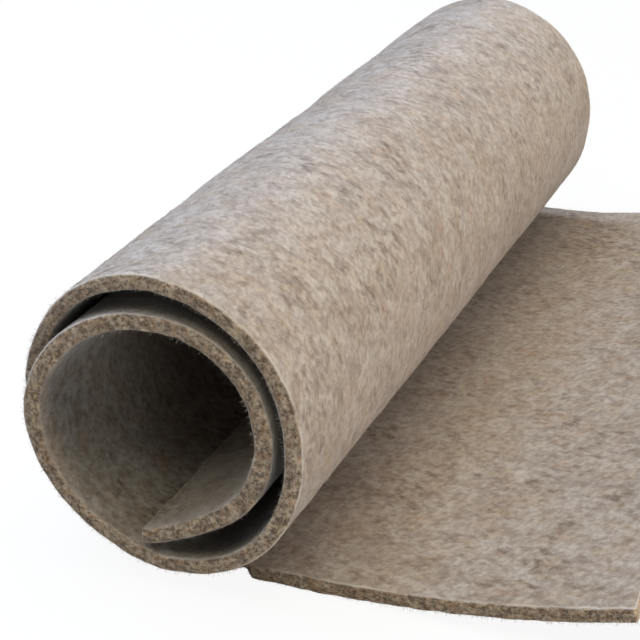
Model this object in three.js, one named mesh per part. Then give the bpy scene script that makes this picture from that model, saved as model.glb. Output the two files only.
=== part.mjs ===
// A cut length of thick wool felt, loosely rolled up and left partly unrolled.
//
// It is one sheet. Its free length lies flat, passes under the roll, climbs the left side and
// winds two turns inwards round an open core. The end of the free length curls up a little.
//
// Units are millimetres and +Z is up. The origin is on the surface that the felt lies on, under
// the axis of the roll and halfway along it. +Y runs along the roll, away from its near end, and
// +X points to the side where the free length lies.
import * as THREE from "three";

// Sizes of the cut sheet
const thickness = 3;
const sheetWidth = 200;
const sheetLength = 402;

// Height of the roll's axis over the surface
const axisHeight = 31.5;

// The felt round the axis of the roll, from under it, where the free length ends, up the left
// side, over the top and down the right side, in degrees. The radius goes to the middle of the
// felt's thickness, in millimetres.
const winding = [
  { turn: 0, radius: axisHeight - thickness / 2 },
  { turn: 6, radius: 30.2 },
  { turn: 30, radius: 29.6 },
  { turn: 60, radius: 29.0 },
  { turn: 90, radius: 28.2 },
  { turn: 120, radius: 26.9 },
  { turn: 150, radius: 27.2 },
  { turn: 180, radius: 27.5 },
  { turn: 210, radius: 26.9 },
  { turn: 240, radius: 26.8 },
  { turn: 270, radius: 26.5 },
  { turn: 300, radius: 27.1 },
  { turn: 325, radius: 27.5 },
  { turn: 340, radius: 27.3 },
  { turn: 350, radius: 26.95 },
  { turn: 360, radius: 26.65 },
  { turn: 370, radius: 26.2 },
  { turn: 380, radius: 25.4 },
  { turn: 395, radius: 24.95 },
  { turn: 420, radius: 24.9 },
  { turn: 450, radius: 24.8 },
  { turn: 480, radius: 22.9 },
  { turn: 510, radius: 21.2 },
  { turn: 540, radius: 20.4 },
  { turn: 570, radius: 20.7 },
  { turn: 600, radius: 20.9 },
  { turn: 630, radius: 20.8 },
  { turn: 660, radius: 20.2 },
  { turn: 690, radius: 19.4 },
  { turn: 710, radius: 20.1 },
  { turn: 729, radius: 22.0 },
];

// How far the near edge lies behind the near end of the roll, and the far edge past its far end
const windingEdges = [
  { turn: 0, setback: 8.0, overhang: 5.0 },
  { turn: 60, setback: 8.0, overhang: 3.0 },
  { turn: 90, setback: 6.8, overhang: 2.0 },
  { turn: 120, setback: 4.4, overhang: 1.2 },
  { turn: 150, setback: 1.9, overhang: 0.9 },
  { turn: 180, setback: 0.5, overhang: 0.8 },
  { turn: 210, setback: 0.1, overhang: 0.8 },
  { turn: 240, setback: 0, overhang: 0.8 },
  { turn: 330, setback: 0, overhang: 0.5 },
  { turn: 400, setback: 0, overhang: 0 },
  { turn: 729, setback: 0, overhang: 0 },
];

// The same along the free length, by the distance from under the axis. The near edge has a small
// nick beside the roll.
const freeEdges = [
  { distance: 0, setback: 8.0, overhang: 5.0 },
  { distance: 9, setback: 8.4, overhang: 5.0 },
  { distance: 11.8, setback: 10.6, overhang: 5.0 },
  { distance: 14.6, setback: 7.9, overhang: 5.0 },
  { distance: 20, setback: 7.8, overhang: 5.0 },
  { distance: 32, setback: 7.8, overhang: 5.6 },
  { distance: 42, setback: 7.8, overhang: 7.0 },
  { distance: 90, setback: 7.8, overhang: 7.2 },
];

// The free length leaves the surface along a slanting line and curls up from there
const curl = { startNear: 25, startFar: 18, bendRadius: 240 };

// Fineness of the mesh
const degreesPerStep = 7;
const freeStep = 2.8;
const stepsAcross = 6;

// A smooth value of one column of a table, at a place between the rows of another column
function smoothBetween(table, placeColumn, valueColumn, place) {
  const last = table.length - 1;
  let i = 0;
  while (i < last - 1 && table[i + 1][placeColumn] < place) i += 1;
  const slopeAt = (row) => {
    if (row === 0 || row === last) return 0;
    const run = table[row + 1][placeColumn] - table[row - 1][placeColumn];
    return (table[row + 1][valueColumn] - table[row - 1][valueColumn]) / run;
  };
  const span = table[i + 1][placeColumn] - table[i][placeColumn];
  const t = (place - table[i][placeColumn]) / span;
  const startValue = table[i][valueColumn];
  const rise = table[i + 1][valueColumn] - startValue;
  const startBend = t * (1 - t) * (1 - t) * span * slopeAt(i);
  const endBend = t * t * (t - 1) * span * slopeAt(i + 1);
  return startValue + rise * t * t * (3 - 2 * t) + startBend + endBend;
}

// The middle of the felt at a turn of the winding, as x and z. It stays on the surface at first.
function windingPoint(turn) {
  const radius = smoothBetween(winding, "turn", "radius", turn);
  const angle = THREE.MathUtils.degToRad(turn);
  const height = Math.max(axisHeight - radius * Math.cos(angle), thickness / 2);
  return new THREE.Vector2(-radius * Math.sin(angle), height);
}

// The middle of the free length at a distance along the felt from under the axis, as x and z.
// Across runs from 0 at the near edge to 1 at the far edge.
function freePoint(distance, across) {
  const start = THREE.MathUtils.lerp(curl.startNear, curl.startFar, across);
  const angle = Math.max(distance - start, 0) / curl.bendRadius;
  const x = Math.min(distance, start) + curl.bendRadius * Math.sin(angle);
  return new THREE.Vector2(x, thickness / 2 + curl.bendRadius * (1 - Math.cos(angle)));
}

// The length of felt in the winding, along the middle of its thickness
function windingLength(endTurn) {
  let length = 0;
  for (let turn = 1; turn <= endTurn; turn += 1) {
    length += windingPoint(turn).distanceTo(windingPoint(turn - 1));
  }
  return length;
}

// The rows of the sheet, from the free end to the inner end. Each has its middle and the places
// of its near and far edges along the roll.
function sheetRows() {
  const endTurn = winding[winding.length - 1].turn;
  const freeLength = sheetLength - windingLength(endTurn);
  const freeSteps = Math.ceil(freeLength / freeStep);
  const turnSteps = Math.ceil(endTurn / degreesPerStep);
  const rows = [];
  for (let i = 0; i < freeSteps; i += 1) {
    const distance = freeLength * (1 - i / freeSteps);
    rows.push({
      middleAt: (across) => freePoint(distance, across),
      near: smoothBetween(freeEdges, "distance", "setback", distance) - sheetWidth / 2,
      far: smoothBetween(freeEdges, "distance", "overhang", distance) + sheetWidth / 2,
    });
  }
  for (let i = 0; i <= turnSteps; i += 1) {
    const turn = (endTurn * i) / turnSteps;
    rows.push({
      middleAt: () => windingPoint(turn),
      near: smoothBetween(windingEdges, "turn", "setback", turn) - sheetWidth / 2,
      far: smoothBetween(windingEdges, "turn", "overhang", turn) + sheetWidth / 2,
    });
  }
  return rows;
}

// One skin of the sheet, to the upper side of its middle with side 1 and to the lower with -1
function skinPositions(rows, side) {
  const positions = [];
  rows.forEach((row, i) => {
    const before = rows[Math.max(i - 1, 0)];
    const after = rows[Math.min(i + 1, rows.length - 1)];
    for (let j = 0; j <= stepsAcross; j += 1) {
      const across = j / stepsAcross;
      const middle = row.middleAt(across);
      const along = after.middleAt(across).sub(before.middleAt(across)).normalize();
      const offset = (side * thickness) / 2;
      const y = THREE.MathUtils.lerp(row.near, row.far, across);
      positions.push(middle.x + along.y * offset, y, middle.y - along.x * offset);
    }
  });
  return positions;
}

// The closed solid of the sheet: its two skins, joined round the rim
function feltGeometry() {
  const rows = sheetRows();
  const positions = [...skinPositions(rows, 1), ...skinPositions(rows, -1)];
  const indices = [];
  const addQuad = (a, b, c, d) => indices.push(a, b, c, a, c, d);
  const rowSize = stepsAcross + 1;
  const upper = (i, j) => i * rowSize + j;
  const lower = (i, j) => (rows.length + i) * rowSize + j;
  const end = rows.length - 1;
  for (let i = 0; i < end; i += 1) {
    for (let j = 0; j < stepsAcross; j += 1) {
      addQuad(upper(i, j), upper(i, j + 1), upper(i + 1, j + 1), upper(i + 1, j));
      addQuad(lower(i, j), lower(i + 1, j), lower(i + 1, j + 1), lower(i, j + 1));
    }
    const edge = stepsAcross;
    addQuad(upper(i, 0), upper(i + 1, 0), lower(i + 1, 0), lower(i, 0));
    addQuad(upper(i + 1, edge), upper(i, edge), lower(i, edge), lower(i + 1, edge));
  }
  for (let j = 0; j < stepsAcross; j += 1) {
    addQuad(upper(0, j + 1), upper(0, j), lower(0, j), lower(0, j + 1));
    addQuad(upper(end, j), upper(end, j + 1), lower(end, j + 1), lower(end, j));
  }
  const geometry = new THREE.BufferGeometry();
  geometry.setAttribute("position", new THREE.Float32BufferAttribute(positions, 3));
  geometry.setIndex(indices);
  geometry.computeVertexNormals();
  return geometry;
}

const woolFelt = new THREE.MeshStandardMaterial({ color: 0xa3968a, roughness: 0.95, metalness: 0 });

const feltSheet = new THREE.Mesh(feltGeometry(), woolFelt);
feltSheet.name = "felt_sheet";

const feltRoll = new THREE.Group();
feltRoll.add(feltSheet);

export default feltRoll;
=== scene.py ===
import math

import bpy
import numpy as np
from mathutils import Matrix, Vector, noise


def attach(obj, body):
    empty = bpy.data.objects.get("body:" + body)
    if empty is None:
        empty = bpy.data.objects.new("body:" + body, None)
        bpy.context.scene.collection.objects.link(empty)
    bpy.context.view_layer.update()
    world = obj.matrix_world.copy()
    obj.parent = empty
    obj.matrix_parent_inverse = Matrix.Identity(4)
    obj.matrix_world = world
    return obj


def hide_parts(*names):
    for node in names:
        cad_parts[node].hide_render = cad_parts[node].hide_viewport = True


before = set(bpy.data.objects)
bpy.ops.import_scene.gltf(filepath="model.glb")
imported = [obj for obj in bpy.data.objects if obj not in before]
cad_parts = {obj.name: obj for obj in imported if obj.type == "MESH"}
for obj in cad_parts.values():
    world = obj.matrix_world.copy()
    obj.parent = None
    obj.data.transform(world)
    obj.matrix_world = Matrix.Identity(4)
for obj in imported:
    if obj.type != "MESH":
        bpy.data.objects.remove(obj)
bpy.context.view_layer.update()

mm = 0.001  # the tables of the felt are in millimetres, as they read better that way

print("camera and lights")

camera = {
    "place": (0.1301, -0.3507, 0.18005),
    "tilt": 1.1452,  # from looking straight down
    "heading": 0.3766,
    "lens": 102.385,
    "sensor": 36,
}

studio = {
    "worldColor": (1.0, 0.985, 0.965),
    "worldStrength": 0.09,
    "lights": {  # name: (place, size, power, colour)
        "coolWindow": ((-0.86, 0.05, 0.48), 0.7, 8.1, (0.50, 0.67, 1.0)),
        "skylight": ((-0.45, 0.05, 0.95), 0.5, 5.1, (0.62, 0.77, 1.0)),
        "warmCeiling": ((0.09, 0.12, 1.10), 1.1, 7.0, (1.0, 0.90, 0.78)),
        "frontPanel": ((-0.08, -0.55, 0.95), 0.6, 2.9, (0.98, 1.0, 0.85)),
        "cornerFill": ((0.65, -0.65, 0.22), 0.4, 0.85, (0.92, 1.0, 0.96)),
        "warmWall": ((0.90, -0.09, 0.11), 0.25, 4.4, (1.0, 0.91, 0.82)),
    },
    "floorSize": 6.0,
    "floorDrop": 0.0002,  # under the felt, so that the two faces don't coincide
    "floorColor": (0.35, 0.345, 0.34),
    "floorRoughness": 0.9,
    "floorGlow": 1.12,
    "floorGlowShare": 0.82,  # how much of the floor that the camera sees is overexposed white
}


def addCamera():
    bpy.ops.object.camera_add(location=camera["place"], rotation=(camera["tilt"], 0, camera["heading"]))
    view = bpy.context.object
    view.name = "photoView"
    view.data.lens = camera["lens"]
    view.data.sensor_width = camera["sensor"]
    view.data.clip_start = 0.01
    bpy.context.scene.camera = view


def addStudio():
    world = bpy.data.worlds.new("studioLight")
    world.use_nodes = True
    glow = world.node_tree.nodes["Background"]
    glow.inputs["Color"].default_value = (*studio["worldColor"], 1)
    glow.inputs["Strength"].default_value = studio["worldStrength"]
    bpy.context.scene.world = world
    bpy.context.scene.view_settings.view_transform = "Standard"

    for name, (place, size, power, color) in studio["lights"].items():
        bpy.ops.object.light_add(type="AREA", location=place)
        lamp = bpy.context.object
        lamp.name = name
        lamp.data.shape = "DISK"
        lamp.data.size = size
        lamp.data.energy = power
        lamp.data.color = color
        lamp.rotation_euler = Vector(place).to_track_quat("Z", "Y").to_euler()

    bpy.ops.mesh.primitive_plane_add(size=studio["floorSize"], location=(0, 0, -studio["floorDrop"]))
    floor = bpy.context.object
    floor.name = "paleFloor"
    paint = bpy.data.materials.new("palePaint")
    paint.use_nodes = True
    tree = paint.node_tree
    shader = tree.nodes["Principled BSDF"]
    shader.inputs["Base Color"].default_value = (*studio["floorColor"], 1)
    shader.inputs["Roughness"].default_value = studio["floorRoughness"]
    glow = tree.nodes.new("ShaderNodeEmission")
    glow.inputs["Strength"].default_value = studio["floorGlow"]
    path = tree.nodes.new("ShaderNodeLightPath")
    share = tree.nodes.new("ShaderNodeMath")
    share.operation = "MULTIPLY"
    share.inputs[1].default_value = studio["floorGlowShare"]
    tree.links.new(path.outputs["Is Camera Ray"], share.inputs[0])
    mix = tree.nodes.new("ShaderNodeMixShader")
    tree.links.new(share.outputs[0], mix.inputs[0])
    tree.links.new(shader.outputs[0], mix.inputs[1])
    tree.links.new(glow.outputs[0], mix.inputs[2])
    tree.links.new(mix.outputs[0], tree.nodes["Material Output"].inputs["Surface"])
    floor.data.materials.append(paint)


addCamera()
addStudio()

print("felt materials")

wool = {
    "beige": (0.390, 0.318, 0.252),
    "pale": (0.57, 0.52, 0.48),
    "tan": (0.36, 0.235, 0.13),
    "brown": (0.125, 0.080, 0.050),
    "cutBeige": (0.82, 0.66, 0.49),
    "cutTan": (0.54, 0.28, 0.12),
    "cutBrown": (0.115, 0.070, 0.043),
    # the colour of the painted highlight along the cut rims
    "paintedRimHighlight": (0.76, 0.71, 0.65),
    "shade": (0.042, 0.026, 0.015),  # painted shade on the skins that face each other between the turns
    "rimShare": 0.8,
    "shadeShare": 0.82,
    "roughness": 0.92,
    "sheen": 0.65,
    "sheenRoughness": 0.45,
    "sheenTint": (0.95, 0.91, 0.87),
    "specular": 0.15,
    "bumpStrength": 0.17,
    "bumpDepth": 0.0003,
}


def addNode(tree, kind, at, inputs=None, **settings):
    node = tree.nodes.new(kind)
    node.location = at
    for name, value in settings.items():
        setattr(node, name, value)
    for name, value in (inputs or {}).items():
        socket = node.inputs[name]
        if isinstance(value, bpy.types.NodeSocket):
            tree.links.new(value, socket)
        else:
            socket.default_value = value
    return node


def newGroup(name, inputs, outputs):
    group = bpy.data.node_groups.new(name, "ShaderNodeTree")
    for socketName, kind, value in inputs:
        socket = group.interface.new_socket(socketName, in_out="INPUT", socket_type=kind)
        if value is not None:
            socket.default_value = value
    for socketName, kind in outputs:
        group.interface.new_socket(socketName, in_out="OUTPUT", socket_type=kind)
    entry = group.nodes.new("NodeGroupInput")
    entry.location = (-1000, 0)
    leave = group.nodes.new("NodeGroupOutput")
    leave.location = (700, 0)
    return group, entry, leave


# The colour of single fibres and of small bunches of them, wandering over the felt. Fleck is where the
# stretched noise is over the level, and Hair a thin line along the level itself.
def makeFibreGroup():
    group, entry, leave = newGroup(
        "fibres",
        [
            ("Place", "NodeSocketVector", None), ("Length", "NodeSocketFloat", 0.005),
            ("Width", "NodeSocketFloat", 0.0012), ("Turn", "NodeSocketFloat", 0.0),
            ("Wander", "NodeSocketFloat", 0.002), ("Swirl", "NodeSocketFloat", 140.0),
            ("Detail", "NodeSocketFloat", 3.0), ("Roughness", "NodeSocketFloat", 0.5),
            ("Level", "NodeSocketFloat", 0.5), ("Softness", "NodeSocketFloat", 0.08),
        ],
        [("Fleck", "NodeSocketFloat"), ("Hair", "NodeSocketFloat")],
    )
    given = entry.outputs
    drift = addNode(group, "ShaderNodeTexNoise", (-800, 200), {
        "Vector": given["Place"], "Scale": given["Swirl"], "Detail": 1.0})
    centred = addNode(group, "ShaderNodeVectorMath", (-620, 200), {
        0: drift.outputs["Color"], 1: (0.5, 0.5, 0.5)}, operation="SUBTRACT")
    swing = addNode(group, "ShaderNodeVectorMath", (-460, 200), {
        0: centred.outputs[0], "Scale": given["Wander"]}, operation="SCALE")
    moved = addNode(group, "ShaderNodeVectorMath", (-300, 100), {
        0: given["Place"], 1: swing.outputs[0]}, operation="ADD")
    turned = addNode(group, "ShaderNodeVectorRotate", (-140, 100), {
        "Vector": moved.outputs[0], "Angle": given["Turn"]}, rotation_type="Z_AXIS")
    grain = addNode(group, "ShaderNodeCombineXYZ", (-300, -120), {
        "X": given["Length"], "Y": given["Width"], "Z": given["Width"]})
    stretched = addNode(group, "ShaderNodeVectorMath", (20, 60), {
        0: turned.outputs[0], 1: grain.outputs[0]}, operation="DIVIDE")
    field = addNode(group, "ShaderNodeTexNoise", (180, 60), {
        "Vector": stretched.outputs[0], "Scale": 1.0, "Detail": given["Detail"],
        "Roughness": given["Roughness"]})
    low = addNode(group, "ShaderNodeMath", (180, -160), {
        0: given["Level"], 1: given["Softness"]}, operation="SUBTRACT")
    high = addNode(group, "ShaderNodeMath", (180, -320), {
        0: given["Level"], 1: given["Softness"]}, operation="ADD")
    fleck = addNode(group, "ShaderNodeMapRange", (420, 100), {
        "Value": field.outputs["Fac"], "From Min": low.outputs[0], "From Max": high.outputs[0]},
        interpolation_type="SMOOTHSTEP")
    offLevel = addNode(group, "ShaderNodeMath", (340, -160), {
        0: field.outputs["Fac"], 1: given["Level"]}, operation="SUBTRACT")
    either = addNode(group, "ShaderNodeMath", (340, -320), {0: offLevel.outputs[0]}, operation="ABSOLUTE")
    hair = addNode(group, "ShaderNodeMapRange", (500, -160), {
        "Value": either.outputs[0], "From Min": given["Softness"], "From Max": 0.0},
        interpolation_type="SMOOTHSTEP")
    group.links.new(fleck.outputs["Result"], leave.inputs["Fleck"])
    group.links.new(hair.outputs["Result"], leave.inputs["Hair"])
    return group


def mixColor(tree, at, share, first, second):
    mix = addNode(tree, "ShaderNodeMix", at, data_type="RGBA")
    pairs = ((0, share), (6, first), (7, second))
    for index, value in pairs:
        if isinstance(value, bpy.types.NodeSocket):
            tree.links.new(value, mix.inputs[index])
        elif index == 0:
            mix.inputs[index].default_value = value
        else:
            mix.inputs[index].default_value = (*value, 1)
    return mix.outputs[2]


def scaled(tree, at, value, factor):
    return addNode(tree, "ShaderNodeMath", at, {0: value, 1: factor}, operation="MULTIPLY").outputs[0]


def added(tree, at, first, second):
    return addNode(tree, "ShaderNodeMath", at, {0: first, 1: second}, operation="ADD").outputs[0]


def readAttribute(tree, at, name, output="Fac"):
    return addNode(tree, "ShaderNodeAttribute", at, attribute_name=name).outputs[output]


def makeFeltMaterial(fibreGroup):
    material = bpy.data.materials.new("heatheredFelt")
    material.use_nodes = True
    tree = material.node_tree
    shader = tree.nodes["Principled BSDF"]
    shader.location = (1700, 0)
    tree.nodes["Material Output"].location = (2000, 0)
    place = readAttribute(tree, (-1600, 0), "flatPlace", "Vector")
    cut = readAttribute(tree, (-1600, -400), "cutEdge")
    rim = readAttribute(tree, (-1600, -600), "paintedRimHighlight")
    between = readAttribute(tree, (-1600, -800), "shadeBetweenTurns")

    def fibres(row, output="Fleck", **inputs):
        node = addNode(tree, "ShaderNodeGroup", (-1200, 1000 - 200 * row), node_tree=fibreGroup)
        tree.links.new(place, node.inputs["Place"])
        for name, value in inputs.items():
            node.inputs[name].default_value = value
        return node.outputs[output]

    clouds = fibres(0, Length=0.024, Width=0.017, Turn=0.3, Wander=0.004, Softness=0.16)
    brownPatches = fibres(1, Length=0.0088, Width=0.0066, Turn=0.6, Detail=1, Level=0.52, Softness=0.16)
    paleFlecks = fibres(2, Length=0.0056, Width=0.0042, Turn=-0.9, Detail=2, Softness=0.17)
    tanFlecks = fibres(3, Length=0.0064, Width=0.0048, Turn=0.1, Detail=2, Level=0.54, Softness=0.13)
    brownFlecks = fibres(4, Length=0.0033, Width=0.0022, Turn=-0.5, Roughness=0.6, Level=0.56, Softness=0.13)
    brownGrains = fibres(5, Length=0.0017, Width=0.0012, Turn=1.2, Wander=0.001, Roughness=0.6, Softness=0.16)
    paleGrains = fibres(6, Length=0.0018, Width=0.0013, Turn=0.2, Wander=0.001, Roughness=0.6, Softness=0.16)
    hairs = fibres(7, "Hair", Length=0.0036, Width=0.0026, Turn=0.7, Swirl=320, Detail=2, Softness=0.036)
    cutFlecks = fibres(8, Length=0.0036, Width=0.0020, Wander=0.001, Roughness=0.7, Softness=0.16)
    cutGrains = fibres(9, Length=0.0014, Width=0.0010, Turn=0.4, Wander=0.001, Roughness=0.85, Softness=0.14)
    cutTans = fibres(10, Length=0.0015, Width=0.0010, Turn=2.6, Wander=0.001, Roughness=0.7, Level=0.54,
                     Softness=0.12)
    gathering = fibres(11, Length=0.019, Width=0.014, Turn=0.9, Wander=0.004, Detail=2, Level=0.52,
                       Softness=0.13)
    gathered = addNode(tree, "ShaderNodeMath", (-1000, -1300), {
        0: brownFlecks, 1: added(tree, (-1100, -1300), scaled(tree, (-1150, -1350), gathering, 0.9), 0.5)},
        operation="MULTIPLY").outputs[0]

    color = wool["beige"]
    layers = (
        (clouds, 0.26, "pale"), (brownPatches, 0.22, "brown"), (paleFlecks, 0.48, "pale"),
        (tanFlecks, 0.44, "tan"), (gathered, 0.68, "brown"), (brownGrains, 0.50, "brown"),
        (paleGrains, 0.32, "pale"), (hairs, 0.24, "brown"),
    )
    for i, (mask, share, tone) in enumerate(layers):
        at = (-800 + 200 * i, 900 - 60 * i)
        color = mixColor(tree, at, scaled(tree, (at[0] - 180, at[1]), mask, share), color, wool[tone])

    cutColor = wool["cutBeige"]
    layers = ((cutFlecks, 0.46, "cutBrown"), (cutTans, 0.62, "cutTan"), (cutGrains, 0.90, "cutBrown"))
    for i, (mask, share, tone) in enumerate(layers):
        at = (-200 + 200 * i, 100 - 60 * i)
        cutColor = mixColor(tree, at, scaled(tree, (at[0] - 180, at[1]), mask, share), cutColor, wool[tone])
    color = mixColor(tree, (900, 300), cut, color, cutColor)
    # painted highlight: a pale line along the rims of the cut faces
    rimHighlightMask = scaled(tree, (900, 100), rim, wool["rimShare"])
    color = mixColor(tree, (1100, 300), rimHighlightMask, color, wool["paintedRimHighlight"])
    # painted shade: the skins that face each other between the turns are darkened
    shadeMask = scaled(tree, (1100, 100), between, wool["shadeShare"])
    color = mixColor(tree, (1300, 300), shadeMask, color, wool["shade"])
    tree.links.new(color, shader.inputs["Base Color"])

    skinHeight = added(tree, (0, -500), scaled(tree, (-200, -450), paleGrains, 0.5),
                       scaled(tree, (-200, -650), brownGrains, -0.5))
    skinHeight = added(tree, (200, -550), skinHeight, scaled(tree, (0, -700), hairs, -0.2))
    cutHeight = scaled(tree, (200, -750), scaled(tree, (0, -850), cutGrains, -2.6), cut)
    bump = addNode(tree, "ShaderNodeBump", (1200, -400), {
        "Height": added(tree, (400, -600), skinHeight, cutHeight), "Strength": wool["bumpStrength"],
        "Distance": wool["bumpDepth"]})
    tree.links.new(bump.outputs["Normal"], shader.inputs["Normal"])

    shader.inputs["Roughness"].default_value = wool["roughness"]
    shader.inputs["Specular IOR Level"].default_value = wool["specular"]
    shader.inputs["Sheen Weight"].default_value = wool["sheen"]
    shader.inputs["Sheen Roughness"].default_value = wool["sheenRoughness"]
    shader.inputs["Sheen Tint"].default_value = (*wool["sheenTint"], 1)
    return material


def makeFuzzMaterial():
    material = bpy.data.materials.new("looseWool")
    material.use_nodes = True
    tree = material.node_tree
    shader = tree.nodes["Principled BSDF"]
    tone = readAttribute(tree, (-700, 0), "fibreTone")
    ramp = addNode(tree, "ShaderNodeValToRGB", (-400, 0), {"Fac": tone})
    ramp.color_ramp.elements[0].color = (*wool["brown"], 1)
    ramp.color_ramp.elements[1].color = (*wool["pale"], 1)
    middle = ramp.color_ramp.elements.new(0.35)
    middle.color = (*wool["beige"], 1)
    tree.links.new(ramp.outputs["Color"], shader.inputs["Base Color"])
    shader.inputs["Roughness"].default_value = wool["roughness"]
    shader.inputs["Specular IOR Level"].default_value = wool["specular"]
    return material


feltMaterial = makeFeltMaterial(makeFibreGroup())
fuzzMaterial = makeFuzzMaterial()

print("felt sheet")

felt = {
    "length": 402,
    "width": 200,
    "thickness": 3,
    "axisHeight": 31.5,
    "columns": 430,  # grid cells along the sheet
    "rows": 100,  # grid cells across it
    "edgeRounding": 0.4,
    "edgeCell": 0.8,  # the outermost cells, which the rounding is cut from
    "edgeWobble": 0.3,
    "wobbleReach": 4,  # how far in from a cut edge the wobble fades out
    "wobbleSizes": (5.0, 1.9),
    "surfaceLumps": 0.12,
    "lumpSizes": (6.0, 3.0),
    "rollUnevenness": 0.4,
    "rollRadius": 28,
    "bulgeSizes": (28.0, 11.0),
    "bulgeRing": 30,  # radius at which their noise is read
    "restingSpan": 0.8,  # none at the bottom, and full where one less the turn's cosine is this
    "firstTurn": 30,  # they also grow over these first degrees
    "evenEnd": 50,  # and over this length from the near end
    "rimPlace": 0.4,  # of the painted highlight along the rim, from the skin at 0 to the cut face at 1
    "rimPeak": 1.15,
    "rimFalloff": 2.2,
    "rimPatchSize": 7.0,  # of the stretches where it is stronger or weaker
    "rimPatches": (0.85, 1.2, 0.3),  # their mean, swing and least strength
    "rimFurtherIn": 0.5,  # its share on the inner skin, and again on the inner turn
    "shadeStart": 0.2,  # how far in from the cut edge the painted shade between the turns starts
    "shadeRise": 1.6,
    "shadeFade": 12,  # the length over which it ends under the roll
    # The felt round the roll's axis: its turn from straight below, up the left side first, and the radius
    # to the middle of the felt
    "winding": [
        (0, 30.0), (6, 30.2), (30, 29.6), (60, 29.0), (90, 28.2), (120, 26.9), (150, 27.2), (180, 27.5),
        (210, 26.9), (240, 26.6), (270, 26.3), (300, 27.1), (325, 27.5), (340, 27.3), (350, 26.95),
        (360, 26.65), (370, 26.2), (380, 25.4), (395, 24.95), (420, 24.9), (450, 24.8), (480, 22.9),
        (510, 21.2), (540, 20.4), (570, 20.7), (600, 20.9), (630, 20.8), (660, 20.2), (690, 19.4),
        (710, 20.1), (729, 22.0),
    ],
    # Turn, how far the inner skin swells towards the core, where the felt is thicker
    "swelling": [
        (0, 0), (225, 0), (255, 0.45), (285, 0.4), (320, 0.1), (350, 0), (400, 0), (440, 0.3), (500, 0.3),
        (540, 0.1), (585, 0.2), (630, 0.6), (690, 0.5), (715, 0.2), (729, 0),
    ],
    # Turn, how far the near edge lies behind the roll's near end, how far the far edge runs past its far end
    "windingEdges": [
        (0, 8.0, 5.0), (60, 8.0, 3.0), (90, 6.8, 2.0), (120, 4.4, 1.2), (150, 1.9, 0.9), (180, 0.5, 0.8),
        (210, 0.1, 0.8), (240, 0, 0.8), (330, 0, 0.5), (400, 0, 0), (729, 0, 0),
    ],
    # The same for the free length, by the distance from under the axis. The near edge has a small nick.
    "freeEdges": [
        (0, 8.0, 5.0), (9, 8.4, 5.0), (11.8, 10.6, 5.0), (14.6, 7.9, 5.0), (20, 7.8, 5.0), (32, 7.8, 5.6),
        (42, 7.8, 7.0), (90, 7.8, 7.2),
    ],
    "curlStartNear": 25,  # the free length leaves the surface along a slanting line and curls up
    "curlStartFar": 18,
    "curlRadius": 240,
}


# One column of a table as a smooth curve over its first column
def smoothBetween(table, column, places):
    place = np.array([row[0] for row in table], float)
    value = np.array([row[column] for row in table], float)
    slope = np.zeros(len(table))
    slope[1:-1] = (value[2:] - value[:-2]) / (place[2:] - place[:-2])
    i = np.clip(np.searchsorted(place, places) - 1, 0, len(table) - 2)
    span = place[i + 1] - place[i]
    t = (places - place[i]) / span
    rise = (value[i + 1] - value[i]) * t * t * (3 - 2 * t)
    bend = t * (1 - t) ** 2 * span * slope[i] + t * t * (t - 1) * span * slope[i + 1]
    return value[i] + rise + bend


def windingPoint(turn):
    radius = smoothBetween(felt["winding"], 1, turn)
    height = felt["axisHeight"] - radius * np.cos(np.radians(turn))
    return -radius * np.sin(np.radians(turn)), np.maximum(height, felt["thickness"] / 2)


degrees = np.arange(felt["winding"][-1][0] + 1.0)
pathX, pathZ = windingPoint(degrees)
pathLength = np.concatenate([[0], np.cumsum(np.hypot(np.diff(pathX), np.diff(pathZ)))])
freeLength = felt["length"] - pathLength[-1]


def smoothNoise(places, size, seed=0.0):
    return np.array([noise.noise(Vector((x / size, y / size, z / size + seed))) for x, y, z in places])


# Places on the flat felt to their places in the roll. Along runs from under the roll's axis, with the free
# length below zero, across from the near edge, and depth from the middle of the felt.
def rolledUp(flat):
    along, across, depth = flat.T
    share = across / felt["width"]
    turn = np.interp(along, pathLength, degrees)
    x, z = windingPoint(turn)
    beforeX, beforeZ = windingPoint(turn - 0.5)
    afterX, afterZ = windingPoint(turn + 0.5)
    step = np.hypot(afterX - beforeX, afterZ - beforeZ)
    tangentX, tangentZ = (afterX - beforeX) / step, (afterZ - beforeZ) / step
    past = np.maximum(along - pathLength[-1], 0)
    x, z = x + tangentX * past, z + tangentZ * past

    free = along < 0
    start = felt["curlStartNear"] + (felt["curlStartFar"] - felt["curlStartNear"]) * share
    angle = np.maximum(-along - start, 0) / felt["curlRadius"]
    x = np.where(free, np.minimum(-along, start) + felt["curlRadius"] * np.sin(angle), x)
    z = np.where(free, felt["thickness"] / 2 + felt["curlRadius"] * (1 - np.cos(angle)), z)
    tangentX = np.where(free, -np.cos(angle), tangentX)
    tangentZ = np.where(free, -np.sin(angle), tangentZ)

    setback = np.where(free, smoothBetween(felt["freeEdges"], 1, -along),
                       smoothBetween(felt["windingEdges"], 1, turn))
    overhang = np.where(free, smoothBetween(felt["freeEdges"], 2, -along),
                        smoothBetween(felt["windingEdges"], 2, turn))
    near = setback - felt["width"] / 2
    far = overhang + felt["width"] / 2
    swelling = np.where(free, 0, smoothBetween(felt["swelling"], 1, turn))
    depth = depth + swelling * np.maximum(depth, 0) / (felt["thickness"] / 2)
    x, z = x + tangentZ * depth, z - tangentX * depth
    y = near + (far - near) * share
    return uneven(np.stack([x, y, z], 1), np.where(free, 0, turn))


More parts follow.
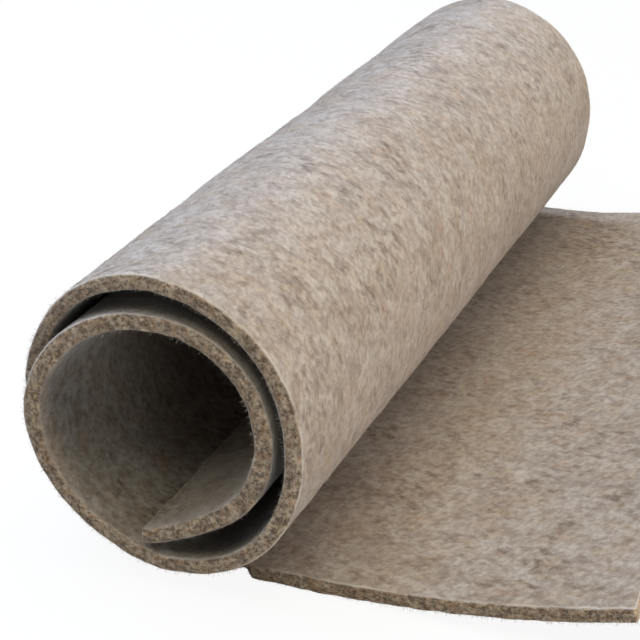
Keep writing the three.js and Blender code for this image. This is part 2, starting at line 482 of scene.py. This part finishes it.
# The turns of the roll bulge and sink together, so that they stay clear of each other. The near end keeps
# its section.
def uneven(places, turn):
    x, y, z = places.T
    z = z - felt["axisHeight"]
    radius = np.hypot(x, z)
    angle = np.arctan2(-x, -z)
    fade = np.clip((1 - np.cos(angle)) / felt["restingSpan"], 0, 1) * np.clip(turn / felt["firstTurn"], 0, 1)
    fade = fade * np.clip((y + felt["width"] / 2) / felt["evenEnd"], 0, 1)
    around = np.stack([np.sin(angle) * felt["bulgeRing"], np.cos(angle) * felt["bulgeRing"], y], 1)
    large, small = felt["bulgeSizes"]
    bulge = smoothNoise(around, large) + 0.4 * smoothNoise(around, small, seed=7.0)
    grow = 1 + bulge * fade * felt["rollUnevenness"] / felt["rollRadius"]
    return np.stack([x * grow, y, z * grow + felt["axisHeight"]], 1)


def gridSpread(share, cells, length):
    cell = share * cells
    inner = felt["edgeCell"] + (cell - 1) * (length - 2 * felt["edgeCell"]) / (cells - 2)
    return np.where(cell < 0.5, 0, np.where(cell > cells - 0.5, length, inner))


def readPlaces(mesh):
    places = np.empty(len(mesh.vertices) * 3)
    mesh.vertices.foreach_get("co", places)
    return places.reshape(-1, 3) / mm


def writePlaces(mesh, places):
    mesh.vertices.foreach_set("co", (places * mm).ravel())
    mesh.update()


def makeFlatFelt():
    bpy.ops.object.select_all(action="DESELECT")
    bpy.ops.mesh.primitive_grid_add(x_subdivisions=felt["columns"], y_subdivisions=felt["rows"], size=1)
    sheet = bpy.context.object
    sheet.name = "rolledFelt"
    places = readPlaces(sheet.data) * mm
    places[:, 0] = gridSpread(places[:, 0] + 0.5, felt["columns"], felt["length"]) - freeLength
    places[:, 1] = gridSpread(places[:, 1] + 0.5, felt["rows"], felt["width"])
    writePlaces(sheet.data, places)

    solid = sheet.modifiers.new("thickness", "SOLIDIFY")
    solid.thickness = felt["thickness"] * mm
    solid.offset = 0
    bpy.ops.object.modifier_apply(modifier=solid.name)
    rounding = sheet.modifiers.new("cutRounding", "BEVEL")
    rounding.width = felt["edgeRounding"] * mm
    rounding.segments = 3
    rounding.limit_method = "ANGLE"
    rounding.angle_limit = math.radians(60)
    bpy.ops.object.modifier_apply(modifier=rounding.name)
    return sheet


# How far each place lies from the nearest cut edge, with the direction out of the sheet there
def edgeDistances(flat):
    along, across, _ = flat.T
    gaps = np.stack([along + freeLength, pathLength[-1] - along, across, felt["width"] - across], 1)
    outward = np.array([(-1, 0), (1, 0), (0, -1), (0, 1)])[gaps.argmin(1)]
    return gaps.min(1), outward


def writeAttribute(mesh, name, values):
    kind, key = ("FLOAT", "value") if values.ndim == 1 else ("FLOAT_VECTOR", "vector")
    record = mesh.attributes.new(name, kind, "POINT")
    record.data.foreach_set(key, values.ravel())


# The material's place on the flat felt, and its masks: the cut faces, the painted highlight along their rims,
# and the painted shade on the skins that face each other between the turns
def writeMasks(mesh, flat, gap):
    cut = np.clip(0.5 + (felt["thickness"] / 2 - np.abs(flat[:, 2]) - gap) / felt["edgeRounding"] / 2, 0, 1)
    cut = cut * cut * (3 - 2 * cut)
    outerSkin = (flat[:, 2] < 0) == (flat[:, 0] > 0)
    innerTurn = flat[:, 0] > pathLength[360]
    mean, swing, least = felt["rimPatches"]
    patchy = np.clip(mean + swing * smoothNoise(flat, felt["rimPatchSize"], seed=17.0), least, 1)
    # the painted highlight, strongest on the outer skin and weaker on the inner skin and on the inner turn
    rim = np.clip(felt["rimPeak"] - np.abs(cut - felt["rimPlace"]) * felt["rimFalloff"], 0, 1)
    rim *= gap < felt["edgeRounding"]
    weaker = felt["rimFurtherIn"]
    rim *= np.where(outerSkin, 1, weaker) * np.where(innerTurn, weaker, 1) * patchy
    # painted shade on the skins that face each other between the turns, growing in from the cut edges
    covered = np.where(innerTurn, outerSkin, (flat[:, 0] > 0) & ~outerSkin)
    opening = np.where(innerTurn, 1, np.clip((pathLength[360] - flat[:, 0]) / felt["shadeFade"], 0, 1))
    between = covered * opening * np.clip((gap - felt["shadeStart"]) / felt["shadeRise"], 0, 1)
    writeAttribute(mesh, "flatPlace", flat * mm)
    writeAttribute(mesh, "cutEdge", cut)
    writeAttribute(mesh, "paintedRimHighlight", rim)
    writeAttribute(mesh, "shadeBetweenTurns", between)


def rollFelt(sheet):
    flat = readPlaces(sheet.data)
    gap, outward = edgeDistances(flat)
    writeMasks(sheet.data, flat, gap)

    nearEdge = np.clip(1 - gap / felt["wobbleReach"], 0, 1)
    large, small = felt["wobbleSizes"]
    edgeNoise = smoothNoise(flat * (1, 1, 0.4), large, seed=3.0) + 0.8 * smoothNoise(flat, small, seed=5.0)
    flat[:, :2] += outward * (nearEdge * edgeNoise * felt["edgeWobble"])[:, None]
    stretched = flat * (0.7, 1, 4)
    large, small = felt["lumpSizes"]
    skin = smoothNoise(stretched, large, seed=11.0) + 0.6 * smoothNoise(stretched, small, seed=13.0)
    nearSkin = np.clip(np.abs(flat[:, 2]) / (felt["thickness"] / 2), 0, 1)
    flat[:, 2] += np.sign(flat[:, 2]) * skin * felt["surfaceLumps"] * nearSkin
    rolled = rolledUp(flat)
    rolled[:, 2] = np.maximum(rolled[:, 2], 0)
    writePlaces(sheet.data, rolled)
    sheet.data.shade_smooth()
    sheet.data.materials.append(feltMaterial)


sheet = makeFlatFelt()
rollFelt(sheet)
print("felt faces", len(sheet.data.polygons))

print("fuzz")

fuzz = {
    "surfaceCount": 32000,
    "surfaceLength": (0.7, 2.4),
    "surfaceBend": 0.7,
    "surfaceRise": 0.08,  # of a middling hair, as most lie low and a few stand higher
    "surfaceWidth": 0.05,
    "surfaceMargins": (2, 1),  # clear of the two ends and of the near and far edges
    "edgeCount": 20000,
    "edgeLength": (0.25, 0.9),
    "edgeWidth": 0.045,
    "nearShare": 0.7,  # of the edge hairs, on the near cut rather than the far one
    "endShare": 0.12,  # on the two ends of the sheet instead
    "edgeDepth": 1.1,  # how widely they spread through the thickness
    "edgeSpread": 0.75,
    "edgeLean": 0.9,  # away from the middle of the felt
    "edgeBend": 0.5,
    "taper": (0.5, 1, 1, 0.25),
    "tones": (1.6, 1.0),  # few are brown and most pale
    "seed": 7,
}


# Each fibre is a narrow band through four points of its own flat path
def addFibres(name, points, widths, tones):
    count = len(points)
    places = np.empty((count, 4, 2, 3))
    places[:, :, 0] = points - widths
    places[:, :, 1] = points + widths
    rolled = rolledUp(places.reshape(-1, 3)) * mm
    rolled[:, 2] = np.maximum(rolled[:, 2], 0)
    first = np.arange(count)[:, None, None] * 8 + np.arange(3)[None, :, None] * 2
    faces = (first + np.array([0, 1, 3, 2])[None, None, :]).reshape(-1, 4)
    mesh = bpy.data.meshes.new(name)
    mesh.from_pydata(rolled.tolist(), [], faces.tolist())
    writeAttribute(mesh, "fibreTone", np.repeat(tones, 8))
    piece = bpy.data.objects.new(name, mesh)
    bpy.context.collection.objects.link(piece)
    mesh.materials.append(fuzzMaterial)
    return piece


def fibrePath(start, heading, bend, length, rise, normal):
    steps = np.linspace(0, 1, 4)
    path = np.empty((len(start), 4, 3))
    path[:, 0] = start
    turned = heading
    for i in range(1, 4):
        piece = length / 3
        path[:, i, 0] = path[:, i - 1, 0] + np.cos(turned) * piece
        path[:, i, 1] = path[:, i - 1, 1] + np.sin(turned) * piece
        turned = turned + bend
    lift = np.sin(np.pi * steps)[None, :] * rise[:, None]
    path[:, :, 2] = start[:, 2][:, None] + lift * normal[:, None]
    return path


def bandWidths(path, width, twist):
    run = np.gradient(path, axis=1)
    run /= np.linalg.norm(run, axis=2, keepdims=True) + 1e-9
    side = np.cross(run, (0, 0, 1))
    side /= np.linalg.norm(side, axis=2, keepdims=True) + 1e-9
    up = np.cross(side, run)
    taper = np.array(fuzz["taper"])[None, :, None]
    turned = side * np.cos(twist)[:, None, None] + up * np.sin(twist)[:, None, None]
    return turned * taper * width / 2


def addSurfaceFuzz():
    rng = np.random.default_rng(fuzz["seed"])
    count = fuzz["surfaceCount"]
    endMargin, sideMargin = fuzz["surfaceMargins"]
    along = rng.uniform(-freeLength + endMargin, pathLength[-1] - endMargin, count)
    across = rng.uniform(sideMargin, felt["width"] - sideMargin, count)
    side = np.where(rng.random(count) < 0.5, 1.0, -1.0)
    start = np.stack([along, across, side * felt["thickness"] / 2], 1)
    heading = rng.uniform(0, 2 * np.pi, count)
    length = rng.uniform(*fuzz["surfaceLength"], count)
    rise = rng.gamma(2.0, 0.5, count) * fuzz["surfaceRise"]
    path = fibrePath(start, heading, rng.normal(0, fuzz["surfaceBend"], count), length, rise, side)
    widths = bandWidths(path, fuzz["surfaceWidth"], rng.uniform(0, np.pi, count))
    return addFibres("surfaceFuzz", path, widths, rng.beta(*fuzz["tones"], count))


# Short hairs that stand out of the near cut and, fewer, of the other three
def addEdgeFuzz():
    rng = np.random.default_rng(fuzz["seed"] + 1)
    count = fuzz["edgeCount"]
    half = felt["thickness"] / 2
    along = rng.uniform(-freeLength, pathLength[-1], count)
    across = np.where(rng.random(count) < fuzz["nearShare"], 0.0, felt["width"])
    atEnds = rng.random(count) < fuzz["endShare"]
    along = np.where(atEnds, np.where(rng.random(count) < 0.5, -freeLength, pathLength[-1]), along)
    across = np.where(atEnds, rng.uniform(0, felt["width"], count), across)
    depth = np.clip(rng.normal(0, fuzz["edgeDepth"], count), -half, half)
    start = np.stack([along, across, depth], 1)
    gap, outward = edgeDistances(start)
    intoRounding = np.clip((np.abs(depth) - half) / felt["edgeRounding"] + 1, 0, 1)
    inset = felt["edgeRounding"] * (1 - np.sqrt(1 - intoRounding**2))
    start[:, :2] -= outward * inset[:, None]
    direction = np.concatenate([outward, np.zeros((count, 1))], 1)
    direction += rng.normal(0, fuzz["edgeSpread"], (count, 3))
    direction[:, 2] += depth / half * fuzz["edgeLean"]
    direction /= np.linalg.norm(direction, axis=1, keepdims=True)
    bend = rng.normal(0, fuzz["edgeBend"], (count, 3))
    length = rng.uniform(*fuzz["edgeLength"], count)[:, None]
    path = np.empty((count, 4, 3))
    path[:, 0] = start
    for i in range(1, 4):
        path[:, i] = path[:, i - 1] + direction * length / 3
        direction = direction + bend / 2
        direction /= np.linalg.norm(direction, axis=1, keepdims=True)
    widths = bandWidths(path, fuzz["edgeWidth"], rng.uniform(0, np.pi, count))
    return addFibres("edgeFuzz", path, widths, rng.beta(*fuzz["tones"], count))


surfaceFuzz = addSurfaceFuzz()
edgeFuzz = addEdgeFuzz()

for piece in (sheet, surfaceFuzz, edgeFuzz):
    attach(piece, "root")
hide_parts("felt_sheet")
